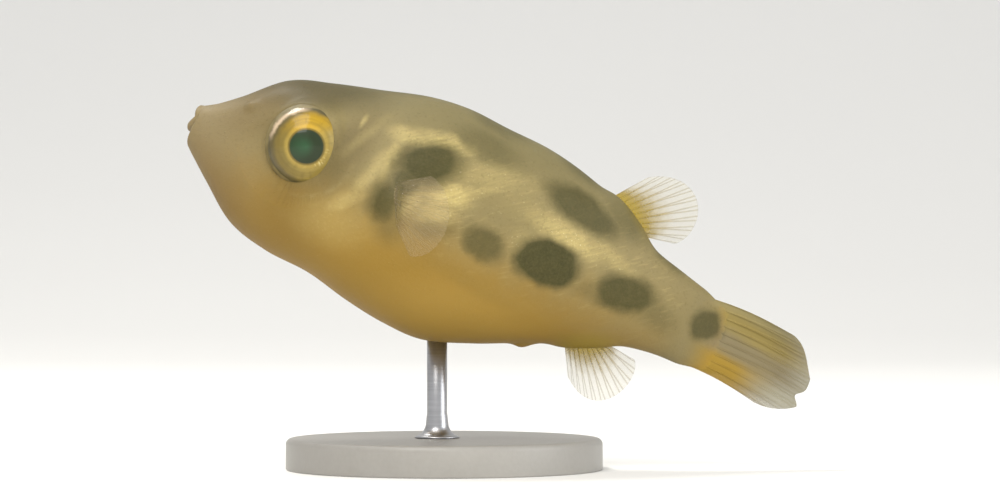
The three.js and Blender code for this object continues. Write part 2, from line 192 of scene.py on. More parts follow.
# %% [markdown]
# ## The body's proportions
#
# A puffer is a plump, scaleless fish: a blunt muzzle, high-set eyes, the deepest point just
# behind the gill opening, and a slim tail root. Each station gives the height of the back,
# the depth of the belly, half the width, and the level at which the body is widest. They are
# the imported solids' own numbers, so the skin lies where the solids do.

# %% Stations of the body
STATIONS = np.array([
    # x,   back, belly, half width, widest level
    (-0.1, 0.88, -0.62, 0.66, 0.2),  # lips
    (0.45, 1.14, -1.03, 0.95, 0.1),  # muzzle
    (1.5, 1.94, -1.87, 1.5, 0.0),  # snout
    (3.1, 3.33, -3.07, 2.2, -0.1),  # forehead
    (4.9, 3.94, -3.58, 2.82, -0.2),  # eyes
    (6.9, 4.46, -3.75, 3.32, -0.3),  # cheeks
    (8.8, 4.95, -4.2, 3.7, -0.4),  # gills
    (10.5, 5.11, -4.48, 3.88, -0.4),  # shoulders
    (12.3, 4.97, -4.52, 3.78, -0.3),  # belly
    (14.3, 4.83, -3.88, 3.32, 0.0),  # flank
    (16.2, 4.4, -3.07, 2.6, 0.3),  # vent
    (18.0, 3.72, -2.36, 1.86, 0.5),  # fin roots
    (19.7, 2.74, -1.7, 1.34, 0.45),  # behind the fins
    (21.4, 2.22, -1.4, 0.98, 0.4),  # peduncle
    (23.3, 1.72, -1.4, 0.62, 0.2),  # tail root
    (24.4, 1.5, -1.3, 0.42, 0.1),  # tail flesh
])
SECTION_POWER = 2.2
SNOUT_X, SKIN_END_X = -0.1, 24.3
SNOUT_CAP = (0.62, 2.5)  # how far the rounding of the end reaches, and its power
END_CAP = (0.3, 2.0)
END_WIDTH = 0.02  # share of the width that the flesh keeps at its thin end
MOUNDS = [  # x, z, height, reach of each soft mound on the flanks
    (4.3, 2.75, 0.26, 1.15),  # brow
    (6.6, -1.1, 0.16, 1.9),  # cheek
    (9.35, 0.35, 0.3, 0.8),  # pectoral root
]


# %% The straight body
def station(column, x):
    """One measure of the body at length x."""
    return smooth_through(STATIONS[:, 0], STATIONS[:, column], x)


def cap_share(distance, reach, power):
    """Share of the section left at a distance from a closed end: a superellipse."""
    inside = np.clip(1 - distance / reach, 0, 1)
    return (1 - inside**power) ** (1 / power)


def body_surface(x, angle):
    """The straight body: at each length a superellipse with its own upper and lower half."""
    cos, sin = np.cos(angle), np.sin(angle)
    middle = station(4, x)
    tall = np.where(sin > 0, station(1, x) - middle, middle - station(2, x))
    share = cap_share(x - SNOUT_X, *SNOUT_CAP) * cap_share(SKIN_END_X - x, *END_CAP)
    flat = END_WIDTH + (1 - END_WIDTH) * ramp(0.1, 2.3, SKIN_END_X - x)
    angle = np.arctan2(sin, cos * flat)  # columns stay evenly spread where the tail is thin
    cos, sin = np.cos(angle), np.sin(angle)
    wide = station(3, x) * flat
    across = (np.abs(cos) / wide) ** SECTION_POWER
    up = (np.abs(sin) / tall) ** SECTION_POWER
    share = share * (1 - 0.08 * ramp(22.4, 23.4, x))
    radius = share * (across + up) ** (-1 / SECTION_POWER)
    for mound_x, mound_z, height, reach in MOUNDS:
        away = np.hypot(x - mound_x, middle + radius * sin - mound_z)
        radius = radius + share * np.abs(cos) * height * bump(away, reach)
    return joined(x, radius * cos, middle + radius * sin)


def flank_at(x, z):
    """Half the body's width at a length and level."""
    middle = station(4, x)
    tall = np.where(z > middle, station(1, x) - middle, middle - station(2, x))
    rise = np.minimum(1, np.abs(z - middle) / tall)
    return station(3, x) * (1 - rise**SECTION_POWER) ** (1 / SECTION_POWER)


# %% Bending and placing
PITCH = math.radians(22.5)
SNOUT_PLACE = np.array([-10.6, -0.15, 14.3])
NECK_X, LOIN_X = 11, 13  # the spine is straight between these
NECK_CURVE, LOIN_CURVE = 0.009, 0.0055  # mm aside for each square mm beyond them


def bend(points):
    """Curves the spine sideways at both ends; each section stays square to the spine."""
    x, y, z = points[..., 0], points[..., 1], points[..., 2]
    ahead = np.maximum(0, NECK_X - x)
    behind = np.maximum(0, x - LOIN_X)
    aside = NECK_CURVE * ahead**2 + LOIN_CURVE * behind**2
    slope = 2 * (LOIN_CURVE * behind - NECK_CURVE * ahead)
    length = np.hypot(1, slope)
    return joined(x - y * slope / length, aside + y / length, z)


def pitched(points):
    """Turns the fish nose-up about its right-left axis and moves it over the stand."""
    x, y, z = points[..., 0], points[..., 1], points[..., 2]
    cos, sin = math.cos(PITCH), math.sin(PITCH)
    return joined(x * cos + z * sin, y, z * cos - x * sin) + SNOUT_PLACE


def in_place(points):
    """From the straight fish to the posed one, in mm."""
    return pitched(bend(points))


# %% [markdown]
# ## The skin
#
# A puffer has no scales, and its skin runs in one piece over head, trunk and tail. It could be
# sculpted, but one closed grid of rows along the body and columns round it keeps every form
# measured. Its first rows run from inside the mouth over the lips, so the mouth is a real
# opening. Rows are closer together over the lips and the eyes, where the shape turns fastest.
# Small forms are then pushed out of the grid or into it: the collar of skin that hugs each
# eyeball, nostrils, the gill opening, the lobes that the fins grow from, and the vent.

# %% Where the rows lie
ROW_STEPS = [  # from x, to x, step: finer where the shape turns fast
    (0.55, 1.6, 0.06),
    (1.6, 3.0, 0.065),
    (3.0, 7.0, 0.055),
    (7.0, 10.6, 0.085),
    (10.6, 17.0, 0.12),
    (17.0, 20.5, 0.09),
    (20.5, 24.0, 0.1),
    (24.0, 24.24, 0.04),
    (24.24, 24.3, 0.012),
]
COLUMNS = 232
body_rows = np.concatenate([np.arange(a, b - 1e-6, step) for a, b, step in ROW_STEPS])
body_rows = np.append(body_rows, SKIN_END_X)
angles = np.linspace(0, 2 * math.pi, COLUMNS, endpoint=False)
print("skin rows", len(body_rows), "columns", COLUMNS)

# %% The mouth and lips
MOUTH_LEVEL = 0.44


def lips_end(angle):
    """The length at which the lips run out and the body's own rows begin: later on top."""
    return 0.36 + 0.17 * (1 + np.sin(angle))


def lip_profiles(angle, stops):
    """For each angle round the mouth, a curve from the throat over the lip to the muzzle.

    The lip is a ring of round section: thick above and below, thin and drawn back at the
    corners. The curve passes through its inner, front and outer faces.
    """
    cos, sin = np.cos(angle), np.sin(angle)
    below = sin < 0
    thick = np.where(below, 0.2 + 0.08 * np.abs(sin) ** 1.5, 0.19 + 0.04 * np.abs(sin) ** 1.5)
    reach_z = np.where(below, 0.42, 0.36)
    ring_x = np.where(below, 0.12, 0.18) * np.abs(sin) + 0.3 * (1 - np.abs(sin))
    ring = joined(ring_x, 0.55 * cos, MOUTH_LEVEL + reach_z * sin)
    outward = joined(0, cos, sin)
    forward = np.array([-1.0, 0, 0])
    thick = thick[:, None]

    def on_lip(turn, size=1.0):
        return ring + size * thick * (math.cos(turn) * forward + math.sin(turn) * outward)

    throat = joined(0.85, 0 * cos, MOUTH_LEVEL)
    cheek = joined(0.55, 0.26 * cos, MOUTH_LEVEL + 0.07 * sin)
    curve = np.stack([
        throat,
        cheek,
        on_lip(math.radians(-100), 0.95),
        on_lip(math.radians(-50)),
        on_lip(0),
        on_lip(math.radians(50)),
        on_lip(math.radians(95)),
        body_surface(0.29 + 0.15 * sin, angle) + 0.03 * outward,
        body_surface(lips_end(angle), angle),
    ])
    knots = np.arange(len(curve))
    i = np.clip(stops.astype(int), 0, len(curve) - 2)
    before = curve[np.maximum(knots - 1, 0)]
    after = curve[np.minimum(knots + 1, len(curve) - 1)]
    return cubic_piece(curve, (after - before) / 2, i, (stops - i)[:, None, None])

# %% The skin's grid
lip_stops = np.concatenate([[0.0], np.linspace(0.5, 7.85, 46)])
mouth_rows = lip_profiles(angles, lip_stops)
start_x = lips_end(angles)
share = (body_rows - body_rows[0]) / (SKIN_END_X - body_rows[0])
row_x = start_x + share[:, None] * (SKIN_END_X - start_x)
flesh = np.concatenate([mouth_rows, body_surface(row_x, angles)])
print("skin grid", flesh.shape)

# %% Smoothing
def relax(points, weight, rounds):
    """Round by round, each grid point moves towards the mean of its four neighbours."""
    for _ in range(rounds):
        beside = (np.roll(points, 1, axis=1) + np.roll(points, -1, axis=1)) / 2
        along = points.copy()
        along[1:-1] = (points[:-2] + points[2:]) / 2
        points = points + weight[..., None] * ((beside + along) / 2 - points)
    return points


flesh = relax(flesh, 0.5 * ramp(1.1, 0.5, flesh[..., 0]) * ramp(0.0, 0.25, flesh[..., 0]), 4)

# %% Fin lobes, vent and gill openings
FIN_LOBES = [  # x, half length, height, half width, and 1 above or -1 below
    (18.35, 1.25, 0.24, 0.55, 1),
    (18.6, 1.2, 0.2, 0.5, -1),
]
VENT_X, GILL_X, GILL_Z = 16.3, 8.62, 0.2

x, y, z = flesh[..., 0], flesh[..., 1], flesh[..., 2]
middle = station(4, x)
outward = unit(joined(0, y, z - middle))
lift = 0.2 * bump(x - VENT_X, 0.38) * bump(y, 0.4) * (z < middle)
for lobe_x, long, tall, wide, above in FIN_LOBES:
    ridge = tall * np.exp(-(((x - lobe_x) / long) ** 4)) * bump(y, wide)
    lift += ridge * ((z - middle) * above > 0)
slit_line = GILL_X + 0.1 * (z - GILL_Z) ** 2
slit_height = bump(z - GILL_Z, 1.05)
lift += np.where(x < 12, slit_height, 0) * (
    0.12 * bump(x - slit_line + 0.45, 0.45) - 0.12 * bump(x - slit_line, 0.2)
)
flesh = flesh + lift[..., None] * outward

# %% Nostrils
NOSTRIL_X, NOSTRIL_Z = 2.35, 1.72


def raise_nostril(points, side):
    """A short tube with a rounded rim and a pit, pushed out of the snout."""
    middle = np.array([NOSTRIL_X, side * float(flank_at(NOSTRIL_X, NOSTRIL_Z)), NOSTRIL_Z])
    way = unit(np.array([-0.25, side * 0.8, 0.55]))
    away = np.linalg.norm(points - middle, axis=-1)
    height = 0.19 * ramp(0.32, 0.12, away) - 0.16 * ramp(0.11, 0.03, away)
    near = points[..., 1] * side > 0
    return points + (height * near)[..., None] * way


for side in (-1, 1):
    flesh = raise_nostril(flesh, side)

# %% The collar of skin round each eye
EYE_PLACE = np.array([5.16, 2.1, 1.11])
EYE_SIZE = np.array([1.74, 1.45, 1.74])
ORBIT_FORWARD = math.radians(18)
ORBIT_DOWN = math.radians(6)
ORBIT_PLANE = 0.46  # distance of the open ring from the middle of the eyeball


def orbit_normal(side):
    """The way the ring of skin round an eye faces: outward, forward and a little down."""
    level = math.cos(ORBIT_DOWN)
    return np.array([
        -math.sin(ORBIT_FORWARD) * level,
        side * math.cos(ORBIT_FORWARD) * level,
        -math.sin(ORBIT_DOWN),
    ])


# %% Skin pushed out round the eyeball
def hug_eye(points, side):
    """Pushes skin near an eyeball out to its surface, and inside it within the open ring.

    Distances are measured in eyeball radii, so 1 is the eyeball's own surface. The lid is
    thin at the ring and thickens away from it, and runs into the cheek in a soft fillet.
    """
    centre = EYE_PLACE * (1, side, 1)
    offset = points - centre
    radii = np.linalg.norm(offset / EYE_SIZE, axis=-1)
    on_ball = offset / np.maximum(radii, 1e-6)[..., None]
    past_ring = ORBIT_PLANE - on_ball @ orbit_normal(side)
    lid = 1.04 + 0.1 * ramp(0, 0.7, past_ring)
    target = 0.9 + (lid - 0.9) * ramp(-0.12, 0.06, past_ring)
    soft = 0.16
    mix = np.clip(0.5 + 0.5 * (radii - target) / soft, 0, 1)
    hugged = target * (1 - mix) + radii * mix + soft * mix * (1 - mix) / 2
    inside = ramp(0, -0.15, past_ring)
    hugged = hugged * (1 - inside) + target * inside
    near = (points[..., 1] * side > 0) & (radii < 1.6)
    scale = np.where(near, hugged / np.maximum(radii, 1e-6), 1)
    return centre + offset * scale[..., None]


def lid_weight(points, side):
    """1 on the skin outside the lid's rim and 0 on the rim and far from the eye."""
    offset = (points - EYE_PLACE * (1, side, 1)) / EYE_SIZE
    radii = np.linalg.norm(offset, axis=-1)
    past_ring = ORBIT_PLANE - offset @ orbit_normal(side) / np.maximum(radii, 1e-6)
    near = points[..., 1] * side > 0
    return near * ramp(0.12, 0.4, past_ring) * ramp(2.0, 1.5, radii)


for side in (-1, 1):
    flesh = hug_eye(flesh, side)
    flesh = relax(flesh, 0.7 * lid_weight(flesh, side), 14)

# %% The tail fin's middle surface
TAIL_ROOT_X = 23.3  # where the fin comes out of the flesh
TAIL_SUNK = 0.7  # how far its rays go on into the flesh
TAIL_TOP, TAIL_DEPTH = 1.66, 3.02  # level of the first ray's root, and from there to the last
TAIL_LEAN, TAIL_SPREAD = 1, 5  # degrees that the first ray leans down, and the last one more
TAIL_ARCH, TAIL_ARCH_LENGTH = 0.12, 5.4
SIDEWAYS = np.array([0.0, 1.0, 0.0])


def tail_length(u):
    """Length of the tail's rays: two lobes, rounded corners and a small notch."""
    lobe = 4.84 + (4.52 - 4.84) * ramp(0.45, 0.85, u)
    from_edge = np.minimum(u, 1 - u)
    rounding = np.sqrt(np.minimum(1, from_edge / np.where(u < 0.5, 0.42, 0.2)))
    return lobe * (0.62 + 0.38 * rounding) - 0.3 * bump(u - 0.68, 0.07)


def tail_wave(u, v):
    """How far the half-closed fin swings to the side: one wave from top to bottom."""
    return 0.5 * v * np.sin(2 * math.pi * (u - 0.12))


def tail_surface(u, v):
    """The half-closed tail fin: nearly parallel rays, cupped in a lengthwise wave."""
    angle = -np.radians(TAIL_LEAN + TAIL_SPREAD * u)
    reach = v * (tail_length(u) + TAIL_SUNK) - TAIL_SUNK
    arch = TAIL_ARCH * np.sin(math.pi * v)
    return joined(
        TAIL_ROOT_X + reach * np.cos(angle),
        tail_wave(u, v),
        TAIL_TOP - TAIL_DEPTH * u + reach * np.sin(angle) + arch,
    )


# %% The flesh follows the fin
def follow_tail(points):
    """Swings the thin end of the flesh with the fin that grows from it.

    The fin's own u and v are worked back from x and z, and its wave is added to y.
    """
    x, z = points[..., 0], points[..., 2]
    past_root = x - (TAIL_ROOT_X - TAIL_SUNK)
    arch = TAIL_ARCH * np.sin(math.pi * np.clip(past_root / TAIL_ARCH_LENGTH, 0, 1))
    below = TAIL_TOP - z
    lean = np.radians(TAIL_LEAN + TAIL_SPREAD * below / TAIL_DEPTH)
    u = np.clip((below - (x - TAIL_ROOT_X) * np.tan(lean) + arch) / TAIL_DEPTH, 0, 1)
    v = np.clip(past_root / (tail_length(u) + TAIL_SUNK), 0, 1)
    aside = tail_wave(u, v) * ramp(0.0, 0.8, past_root)
    return points + aside[..., None] * SIDEWAYS


flesh = follow_tail(flesh)

# %% Close the skin and place it
skin_points, skin_faces = closed_tube(flesh[1:-1], flesh[0].mean(0), flesh[-1].mean(0))
skin = make_piece("skin", in_place(skin_points), skin_faces)
store_vector(skin, "straight_mm", skin_points)
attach(skin, "root")
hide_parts("head", "trunk", "tail")
print("skin triangles", 2 * len(skin_faces))

# %% [markdown]
# ## Shader expressions
#
# A shader is easier to read as arithmetic than as a picture of wires. `Value` wraps a socket
# and turns each Python operator into a Math node. `Finish` holds one material and has one
# method, `add`, for every other node.


# %% Values that vary over a surface
class Value:
    """A socket that can be used in ordinary arithmetic."""

    def __init__(self, finish, socket):
        self.finish = finish
        self.socket = socket

    def math(self, operation, *others, **settings):
        """A Math node that works on this value and others."""
        settings["operation"] = operation
        return self.finish.add("ShaderNodeMath", settings, (self, *others))

    def __add__(self, other):
        return self.math("ADD", other)

    __radd__ = __add__

    def __mul__(self, other):
        return self.math("MULTIPLY", other)

    __rmul__ = __mul__

    def __sub__(self, other):
        return self.math("SUBTRACT", other)

    def __rsub__(self, other):
        return (self * -1) + other

    def __truediv__(self, other):
        return self.math("DIVIDE", other)

    def __abs__(self):
        return self.math("ABSOLUTE")

    def clamp(self):
        """The value itself, kept between 0 and 1."""
        return self.math("ADD", 0.0, use_clamp=True)

    def ramp(self, low, high):
        """0 at low, 1 at high, smooth between; low may be above high."""
        settings = {"interpolation_type": "SMOOTHSTEP"}
        inputs = {"Value": self, "From Min": low, "From Max": high}
        return self.finish.add("ShaderNodeMapRange", settings, inputs)

    def coated(self, mask, colour):
        """This colour, with another laid over it where mask is 1."""
        return self.finish.blend(mask, self, colour)


# %% Colours
def rgb(red, green, blue):
    """A display colour, 0 to 255, as the linear colour a shader wants."""
    display = np.array([red, green, blue]) / 255
    linear = np.where(display < 0.04045, display / 12.92, ((display + 0.055) / 1.055) ** 2.4)
    return (*linear.tolist(), 1.0)


SHEEN = 0.015  # what the wet surface adds to every colour


def pigment(red, green, blue, depth=0.5):
    """The deeper colour that shows as this display colour in the studio's bright light."""
    shown = np.array(rgb(red, green, blue)[:3])
    return (*(depth * np.maximum(shown - SHEEN, 0.003)).tolist(), 1.0)


def layered(tone, *layers):
    """Lays pigments over a tone in turn: each layer is a mask, then what pigment takes."""
    for mask, *shown in layers:
        tone = tone.coated(mask, pigment(*shown))
    return tone


# %% One material and its nodes
class Finish:
    """One material, with Python methods for its nodes."""

    def __init__(self, name, **uniform):
        self.material = bpy.data.materials.new(name)
        self.material.use_nodes = True
        self.nodes = self.material.node_tree.nodes
        self.links = self.material.node_tree.links
        self.shader = self.nodes["Principled BSDF"]
        for socket, value in uniform.items():
            self.shader.inputs[socket.replace("_", " ")].default_value = value

    def add(self, kind, settings=None, inputs=(), output=0):
        """A node of any kind: its settings first, then its inputs by place or by name."""
        node = self.nodes.new(kind)
        for key, value in (settings or {}).items():
            setattr(node, key, value)
        pairs = inputs.items() if isinstance(inputs, dict) else enumerate(inputs)
        for key, value in pairs:
            if isinstance(value, Value):
                self.links.new(value.socket, node.inputs[key])
            else:
                node.inputs[key].default_value = value
        return Value(self, node.outputs[output])

    def blend(self, factor, low, high):
        """The colour low where factor is 0 and high where it is 1."""
        settings = {"data_type": "RGBA", "clamp_factor": True}
        return self.add("ShaderNodeMix", settings, {0: factor, 6: low, 7: high}, 2)

    def parts(self, vector):
        """The x, y and z of a vector."""
        node = self.nodes.new("ShaderNodeSeparateXYZ")
        self.links.new(vector.socket, node.inputs[0])
        return [Value(self, socket) for socket in node.outputs]

    def vector(self, x, y, z):
        return self.add("ShaderNodeCombineXYZ", None, (x, y, z))

    def position(self):
        """Where a point of the piece lies, in metres."""
        return self.add("ShaderNodeTexCoord", None, (), 3)

    def stored(self, name):
        """A vector that the piece keeps for each vertex."""
        return self.add("ShaderNodeAttribute", {"attribute_name": name}, (), 1)

    def noise(self, vector, scale, detail=2.0, rough=0.5):
        inputs = {"Vector": vector, "Scale": scale, "Detail": detail, "Roughness": rough}
        return self.add("ShaderNodeTexNoise", None, inputs)

    def cells(self, vector, scale):
        """Distance from the nearest of many scattered points."""
        return self.add("ShaderNodeTexVoronoi", None, {"Vector": vector, "Scale": scale})

    def wear(self, **sockets):
        """Links values to the shader's own sockets."""
        for socket, value in sockets.items():
            self.links.new(value.socket, self.shader.inputs[socket.replace("_", " ")])

    def relief(self, height, distance_mm):
        """Small relief from a height between 0 and 1, worth distance_mm."""
        inputs = {"Strength": 1.0, "Distance": distance_mm * MM, "Height": height}
        self.wear(Normal=self.add("ShaderNodeBump", None, inputs))

    def onto(self, piece):
        """Gives the piece this finish and no other."""
        piece.data.materials.clear()
        piece.data.materials.append(self.material)
        print(piece.name, "wears", self.material.name, "with", len(self.nodes), "nodes")


# %% [markdown]
# ## The skin's colours
#
# The skin is thin, wet and a little see-through. Its ground runs from olive grey on the back
# through tan to yellow ochre on the belly, with a pinkish muzzle; painted shade deepens the
# olive on the forehead, the brow and the bridge of the snout. Dark olive blotches with soft
# edges lie along the flank, and between them flecks of gold catch the light, with painted
# glints on the upper flank. They could be painted on an image. Here they are worked out from
# the position on the straight fish, so both flanks carry one pattern that stays sharp close up.

# %% Masks on the straight fish
skin_finish = Finish(
    "wet_skin",
    Subsurface_Weight=0.16,
    Subsurface_Radius=(0.9, 0.6, 0.3),
    Subsurface_Scale=0.0009,
    Specular_IOR_Level=0.22,
    Coat_Roughness=0.3,
)
straight = skin_finish.stored("straight_mm")
length, across, height = skin_finish.parts(straight)
grain = skin_finish.noise(straight, 11.0, 3.0, 0.6)


def uneven(finish, straight):
    """Length and height shifted by three noises, so that no marking has an even edge."""
    length, across, height = finish.parts(straight)
    cloud = finish.noise(straight, 0.9)
    cloud_2 = finish.noise(finish.vector(height, length, across), 1.0)
    mottle = finish.noise(straight, 3.0, 3.0, 0.55)
    fine = (mottle - 0.5) * 0.12
    along = length + (cloud - 0.5) * 0.5 + fine
    above = height + (cloud_2 - 0.5) * 0.5 + fine
    return along, above, cloud, cloud_2, mottle


warped_length, warped_height, cloud, cloud_2, mottle = uneven(skin_finish, straight)

# %% Ovals
def tilted(along, above, tilt):
    """The same place measured on two axes that are turned by tilt degrees."""
    cos, sin = math.cos(math.radians(tilt)), math.sin(math.radians(tilt))
    return along * cos + above * sin, above * cos - along * sin


def oval(along, above, place, half, tilt, soft):
    """1 inside a soft-edged oval and 0 outside; tilt is in degrees."""
    first, second = tilted(along - place[0], above - place[1], tilt)
    first, second = first / half[0], second / half[1]
    distance = (first * first + second * second).math("SQRT")
    return distance.ramp(1 + soft, 1 - soft)


def strongest(masks):
    """The largest of several masks, point by point."""
    most = masks[0]
    for mask in masks[1:]:
        most = most.math("MAXIMUM", mask)
    return most


def ovals(along, above, rows):
    """Several ovals as one mask: rows of x, z, half length, half height, tilt, soft, strength."""
    return strongest([
        oval(along, above, (x, z), (long, tall), tilt, soft) * strength
        for x, z, long, tall, tilt, soft, strength in rows
    ])


# %% Ground colours
upper = (height + (cloud - 0.5) * 1.6).ramp(-2.4, 1.6)
top = (height + (cloud_2 - 0.5) * 1.0).ramp(2.2, 4.6)
ground = skin_finish.blend(upper, pigment(176, 142, 68), pigment(172, 156, 108))
crest = (abs(across) + (cloud_2 - 0.5) * 1.4).ramp(1.2, 0.1) * height.ramp(1.2, 2.6)
eye_along, eye_above = length - EYE_PLACE[0] - 0.1, height - EYE_PLACE[2] + 0.1
from_eye = (eye_along * eye_along + eye_above * eye_above).math("SQRT")
fold = abs(from_eye - 2.0).ramp(0.16, 0.0) * (length * 0.5 - height).ramp(1.6, 3.2)
fold = fold * length.ramp(4.8, 6.2) * mottle.ramp(0.3, 0.6)


def patch(place, half, tilt, soft):
    """A soft oval on the flank."""
    return oval(length, height, place, half, tilt, soft)


ground = layered(
    ground,
    (top * 0.6, 138, 130, 92),
    (length.ramp(5.4, 0.3) * 0.85, 172, 154, 116),  # muzzle
    (patch((2.8, -3.6), (3.4, 1.8), -35, 0.6) * 0.7, 152, 122, 66),  # chin
    (patch((11.5, -3.2), (6.0, 2.0), 0, 0.7) * 0.75, 186, 148, 62),  # belly
    (patch((13.2, -3.4), (3.4, 1.5), 14, 0.6) * 0.7, 206, 168, 84),  # its lower part
    (length.ramp(17.0, 22.0) * 0.55, 164, 148, 102),  # peduncle
    (patch((3.6, 4.3), (3.9, 1.7), 22, 0.55) * 0.85, 100, 92, 60),  # forehead: olive pigment, deepened with painted shade on the top of the head
    (patch((4.5, 3.2), (2.4, 0.65), 16, 0.8) * 0.6, 90, 80, 44),  # brow: painted shade over the eye
    (patch((2.6, 1.7), (1.3, 0.9), 30, 0.8) * 0.5, 140, 118, 76),  # bridge of the snout: painted shade on its lit top
    (patch((5.6, -1.6), (1.1, 1.5), 20, 0.8) * 0.35, 140, 112, 56),  # below the eye
    (patch((6.75, 1.5), (0.75, 1.7), -15, 0.7) * 0.55, 112, 98, 62),  # behind the eye
    (crest * 0.35, 120, 116, 88),
    (fold * 0.25, 196, 176, 122),  # crease round the eye
)

# %% Gold and cream patches
GOLD_AREAS = [  # x, z, half length, half height, tilt, softness, strength
    (9.0, 3.04, 0.8, 0.31, 5, 0.8, 0.76),  # over the first blotch
    (10.2, 3.4, 0.95, 0.28, 0, 0.8, 0.85),
    (8.1, 1.2, 0.24, 1.5, -18, 0.9, 0.52),  # curved band on the gill cover
    (7.45, -0.45, 0.3, 0.8, -40, 0.9, 0.55),
    (8.5, 2.0, 0.24, 0.8, -5, 0.9, 0.7),
    (7.2, 2.3, 0.2, 0.9, -25, 0.9, 0.25),
    (11.3, 1.4, 0.95, 0.45, 24, 0.8, 1.0),  # cream patch behind the first blotch
    (11.0, 0.65, 0.6, 0.45, 20, 0.9, 0.7),
    (9.9, 0.7, 0.55, 0.6, 0, 0.9, 0.45),
    (12.3, 2.0, 1.0, 0.2, 38, 0.9, 0.6),
    (12.3, 2.7, 1.6, 0.5, 10, 0.9, 0.35),
    (14.3, 2.0, 1.4, 0.5, -8, 0.9, 0.18),
    (16.1, 1.75, 1.6, 0.4, -8, 0.8, 0.8),  # over the third blotch
    (17.9, 1.7, 1.3, 0.32, -14, 0.8, 0.4),
    (6.9, 2.85, 0.09, 0.26, -12, 0.9, 0.6),  # glint behind the eye
    (7.3, -1.4, 1.3, 0.85, 10, 0.9, 0.32),  # cheek
    (14.6, 0.9, 0.5, 0.5, 0, 0.9, 0.3),
]
gold_area = ovals(warped_length, warped_height, GOLD_AREAS)
along_lines, over_lines = tilted(length, height, 36)
lines_place = skin_finish.vector(along_lines, over_lines * 6.5, across)
lines = skin_finish.noise(lines_place, 1.3, 3.0, 0.6)
flecks = skin_finish.noise(straight, 6.5).ramp(0.5, 0.72)
lines_share = length.ramp(7.6, 9.5) + 0.25
gold = (gold_area * (0.66 + (lines - 0.48) * lines_share + flecks * 0.2)).clamp()
flank = height.ramp(-2.0, 0.5) * height.ramp(4.4, 2.8) * length.ramp(8.0, 11.0)
flank_shade = oval(warped_length, warped_height, (13.7, 1.5), (1.9, 0.9), -8, 0.8)
# Painted glints: bright specks on the upper flank, where the skin's shiny flecks throw back light
painted_sparkle = skin_finish.noise(straight, 13.0, 1.0).ramp(0.68, 0.76) * flank
ground = layered(
    ground,
    (gold * 0.9, 238, 216, 142, 0.6),
    (lines.ramp(0.52, 0.74) * flank * 0.26, 214, 194, 132, 0.6),
    (flank_shade * 0.4, 150, 136, 92),
    (painted_sparkle * (gold_area + 0.1) * 0.55, 246, 236, 190, 0.75),
)

# %% Dark blotches
BLOTCH = (84, 82, 48)
TAIL_SPOT = (23.0, 0.56, 0.76, 0.76, -20, 0.36, 0.9)  # at the tail's root, half on the fin
DARK_SPOTS = [  # x, z, half length, half height, tilt, softness, strength
    (9.95, 2.36, 1.32, 0.92, 24, 0.42, 0.94),  # behind the eye
    (9.42, 1.3, 0.92, 0.5, 68, 0.5, 0.85),
    (9.02, 0.25, 0.62, 0.95, 0, 0.55, 0.85),
    (9.45, -0.7, 0.5, 0.6, 10, 0.8, 0.35),
    (11.2, -0.05, 0.8, 0.34, 20, 0.7, 0.35),
    (13.15, 0.16, 0.95, 0.64, -22, 0.38, 0.78),
    (15.8, 0.4, 1.38, 1.0, 7, 0.24, 1.0),  # the largest, over the vent
    (19.3, 0.45, 1.38, 0.76, 10, 0.35, 0.9),
    (20.9, 0.15, 1.1, 0.5, -14, 0.8, 0.45),
    (18.0, 0.1, 0.8, 0.4, 15, 0.8, 0.38),
    TAIL_SPOT,
    (16.4, 2.98, 1.75, 0.68, -13, 0.36, 0.85),  # before the dorsal fin
    (18.2, 3.1, 0.9, 0.6, -25, 0.7, 0.5),
    (11.9, 3.85, 1.4, 0.55, -8, 0.6, 0.45),
    (6.1, 3.85, 0.7, 0.28, 12, 0.9, 0.25),
    (13.6, -1.6, 2.0, 0.35, -10, 0.9, 0.1),
]
BACK_SPOTS = [  # the same measures seen from above: x, distance to the side, ...
    (4.4, 0.0, 0.7, 0.75, 0, 0.6, 0.45),  # between the eyes
    (7.9, 0.0, 1.1, 0.9, 0, 0.5, 0.55),  # nape
    (12.0, 0.5, 1.3, 1.2, 0, 0.5, 0.6),  # over the belly's deepest point
    (15.6, 0.3, 1.0, 0.9, 0, 0.5, 0.6),
    (20.6, 0.0, 0.9, 0.7, 0, 0.5, 0.6),  # behind the dorsal fin
]
spots = ovals(warped_length, warped_height, DARK_SPOTS)
back_spots = ovals(warped_length, abs(across) + (cloud_2 - 0.5) * 0.8, BACK_SPOTS)
spots = strongest([spots, back_spots * height.ramp(0.6, 1.6) * 0.8])
fin_bases = ovals(length, height, [
    (18.65, 3.75, 1.1, 0.3, -38, 0.8, 0.5),
    (18.7, -2.12, 1.15, 0.45, 22, 0.8, 0.9),
])
broken = 1 + (mottle - 0.5) * 0.25
ground = layered(
    ground,
    (fin_bases, 180, 154, 66),
    ((spots * broken * 0.9).clamp(), *BLOTCH),
    (spots.ramp(0.75, 1.0) * 0.35, 66, 68, 38),
)

# %% The tail's colours, shared by the skin and the tail fin
def tail_tones(finish, along, above):
    """Yellow above and below, a grey-brown fold between them, whitish at the lower end."""
    cloud = finish.noise(finish.vector(along * 0.4, above, 0.0), 1.6)
    over_fold = above + (along - 24.6) * 0.1 - 0.2 + (cloud - 0.5) * 0.5
    tone = finish.blend(over_fold.ramp(0.1, 0.7), pigment(156, 142, 106), pigment(176, 156, 90))
    return layered(
        tone,
        (over_fold.ramp(0.95, 1.5) * 0.6, 186, 176, 132),
        (over_fold.ramp(-0.2, -0.85) * along.ramp(27.4, 24.6), 184, 150, 60),  # yellow
        (over_fold.ramp(-0.2, -1.1) * along.ramp(24.8, 27.2), 196, 190, 164),  # whitish
        (along.ramp(26.6, 28.4) * 0.8, 188, 182, 154),
        (along.ramp(24.0, 22.4), 162, 147, 102),
    )


tail_start = (length + (cloud - 0.5) * 0.8).ramp(20.6, 22.6) * (1 - spots)
ground = ground.coated(tail_start, tail_tones(skin_finish, length, height))

